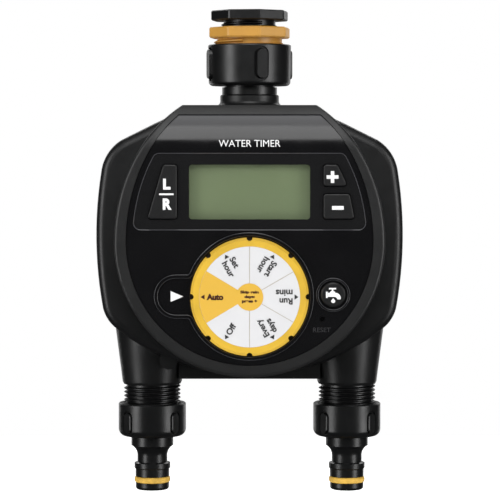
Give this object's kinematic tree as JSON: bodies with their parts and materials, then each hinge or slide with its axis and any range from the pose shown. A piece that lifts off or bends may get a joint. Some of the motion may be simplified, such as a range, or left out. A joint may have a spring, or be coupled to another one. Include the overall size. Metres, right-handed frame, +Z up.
{
  "type": "tap water timer",
  "caption": "Tap-mounted electronic water timer with a turning dial, display and buttons, two valve-controlled threaded outlets and click-on hose connectors.",
  "frame": {"origin": "centre of the tap inlet's top face, on the inlet axis", "axes": "+Z up along the inlet axis towards the tap, -Y towards the user, out of the dial, +X to the user's right"},
  "size_m": [0.1418, 0.069, 0.2241],
  "materials": {
    "housing_black": "satin moulded black with fine grain",
    "fitting_black": "satin moulded black",
    "panel_black": "gloss black",
    "button_black": "satin black with white legends",
    "adapter_yellow": "satin orange-yellow",
    "dial_yellow": "satin yellow",
    "label_white": "printed white and yellow label",
    "lens_clear": "clear, polished",
    "display_green": "grey-green display glass",
    "inner_plastic": "plain moulded grey",
    "board_green": "solder-masked board",
    "seal_rubber": "black rubber",
    "o_ring_yellow": "orange-yellow rubber",
    "door_black": "satin moulded black",
    "steel": "zinc plated",
    "copper": "enamelled wire",
    "cell_sleeve": "plain printed sleeve",
    "wire_red": "soft wire covering"
  },
  "bodies": {
    "case": {"rear_housing": "housing_black", "front_cover": "housing_black", "housing_seal": "seal_rubber", "housing_screws": "steel", "fascia_panel": "panel_black", "valve_body": "inner_plastic", "valve_cover_screws": "steel", "inlet_spigot": "fitting_black", "filter_screen": "inner_plastic", "lcd_window": "lens_clear", "lcd_glass": "display_green", "lcd_frame": "inner_plastic", "circuit_board": "board_green", "board_screws": "steel", "rotary_switch": "inner_plastic", "button_switches": "inner_plastic", "battery_box": "inner_plastic", "batteries": "cell_sleeve", "battery_contacts": "steel", "battery_leads": "wire_red", "solenoid_leads": "wire_red", "left_diaphragm": "seal_rubber", "left_valve_cover": "inner_plastic", "left_solenoid_bobbin": "inner_plastic", "left_solenoid_winding": "copper", "left_solenoid_frame": "steel", "left_plunger_spring": "steel", "left_outlet_spigot": "fitting_black", "right_diaphragm": "seal_rubber", "right_valve_cover": "inner_plastic", "right_solenoid_bobbin": "inner_plastic", "right_solenoid_winding": "copper", "right_solenoid_frame": "steel", "right_plunger_spring": "steel", "right_outlet_spigot": "fitting_black"},
    "dial": {"dial_knob": "dial_yellow", "dial_label": "label_white", "dial_shaft": "inner_plastic"},
    "mode_button": {"mode_button": "button_black"},
    "plus_button": {"plus_button": "button_black"},
    "minus_button": {"minus_button": "button_black"},
    "manual_button": {"manual_button": "button_black"},
    "reset_plunger": {"reset_plunger": "button_black"},
    "inlet_nut": {"inlet_nut": "fitting_black"},
    "inlet_washer": {"inlet_washer": "seal_rubber"},
    "adapter_washer": {"adapter_washer": "seal_rubber"},
    "tap_adapter": {"tap_adapter": "adapter_yellow"},
    "tap_reducer": {"tap_reducer": "fitting_black", "reducer_washer": "seal_rubber"},
    "left_connector_washer": {"left_connector_washer": "seal_rubber"},
    "left_connector": {"left_connector": "fitting_black", "left_o_ring": "o_ring_yellow"},
    "left_plunger": {"left_plunger": "steel"},
    "right_connector_washer": {"right_connector_washer": "seal_rubber"},
    "right_connector": {"right_connector": "fitting_black", "right_o_ring": "o_ring_yellow"},
    "right_plunger": {"right_plunger": "steel"},
    "battery_door": {"battery_door": "door_black", "battery_door_seal": "seal_rubber"}
  },
  "joints": [
    {"name": "dial_turn", "type": "hinge", "parent": "case", "child": "dial", "pos_m": [0, -0.035, -0.1313], "axis": [0, -1, 0], "continuous": true},
    {"name": "mode_button_press", "type": "slide", "parent": "case", "child": "mode_button", "axis": [0, 1, 0], "range_m": [0, 0.0006], "stiffness_N_per_m": 400, "springref_m": -0.0015},
    {"name": "plus_button_press", "type": "slide", "parent": "case", "child": "plus_button", "axis": [0, 1, 0], "range_m": [0, 0.0006], "stiffness_N_per_m": 400, "springref_m": -0.0015},
    {"name": "minus_button_press", "type": "slide", "parent": "case", "child": "minus_button", "axis": [0, 1, 0], "range_m": [0, 0.0006], "stiffness_N_per_m": 400, "springref_m": -0.0015},
    {"name": "manual_button_press", "type": "slide", "parent": "case", "child": "manual_button", "axis": [0, 1, 0], "range_m": [0, 0.0006], "stiffness_N_per_m": 400, "springref_m": -0.0015},
    {"name": "reset_press", "type": "slide", "parent": "case", "child": "reset_plunger", "axis": [0, 1, 0], "range_m": [0, 0.0003], "stiffness_N_per_m": 400, "springref_m": -0.0015},
    {"name": "inlet_nut_swivel", "type": "hinge", "parent": "case", "child": "inlet_nut", "pos_m": [0, 0, -0.0253], "axis": [0, 0, 1], "continuous": true},
    {"name": "adapter_lift", "type": "slide", "parent": "case", "child": "inlet_washer", "axis": [0, 0, 1], "range_m": [0, 0.0116]},
    {"name": "adapter_unscrew", "type": "hinge", "parent": "inlet_washer", "child": "tap_adapter", "pos_m": [0, 0, -0.015], "axis": [0, 0, 1], "range_deg": [0, 1800]},
    {"name": "reducer_lift", "type": "slide", "parent": "tap_adapter", "child": "adapter_washer", "axis": [0, 0, 1], "range_m": [0, 0.0091]},
    {"name": "reducer_unscrew", "type": "hinge", "parent": "adapter_washer", "child": "tap_reducer", "pos_m": [0, 0, -0.008], "axis": [0, 0, 1], "range_deg": [0, 1800]},
    {"name": "left_connector_lower", "type": "slide", "parent": "case", "child": "left_connector_washer", "axis": [0, 0, -1], "range_m": [0, 0.0091]},
    {"name": "left_connector_unscrew", "type": "hinge", "parent": "left_connector_washer", "child": "left_connector", "pos_m": [-0.0457, 0, -0.19], "axis": [0, 0, -1], "range_deg": [0, 1800]},
    {"name": "left_plunger_lift", "type": "slide", "parent": "case", "child": "left_plunger", "axis": [0, 0, 1], "range_m": [0, 0.0018], "stiffness_N_per_m": 80, "springref_m": -0.004, "deforming": ["left_plunger_spring"]},
    {"name": "right_connector_lower", "type": "slide", "parent": "case", "child": "right_connector_washer", "axis": [0, 0, -1], "range_m": [0, 0.0091]},
    {"name": "right_connector_unscrew", "type": "hinge", "parent": "right_connector_washer", "child": "right_connector", "pos_m": [0.0457, 0, -0.19], "axis": [0, 0, -1], "range_deg": [0, 1800]},
    {"name": "right_plunger_lift", "type": "slide", "parent": "case", "child": "right_plunger", "axis": [0, 0, 1], "range_m": [0, 0.0018], "stiffness_N_per_m": 80, "springref_m": -0.004, "deforming": ["right_plunger_spring"]},
    {"name": "battery_door_open", "type": "hinge", "parent": "case", "child": "battery_door", "pos_m": [0, 0.0292, -0.1209], "axis": [-1, 0, 0], "range_deg": [0, 90]}
  ],
  "couplings": [
    {"joint": "adapter_lift", "follows": "adapter_unscrew", "m_per_rad": 0.00036749},
    {"joint": "reducer_lift", "follows": "reducer_unscrew", "m_per_rad": 0.00028871},
    {"joint": "left_connector_lower", "follows": "left_connector_unscrew", "m_per_rad": 0.00028871},
    {"joint": "right_connector_lower", "follows": "right_connector_unscrew", "m_per_rad": 0.00028871}
  ]
}
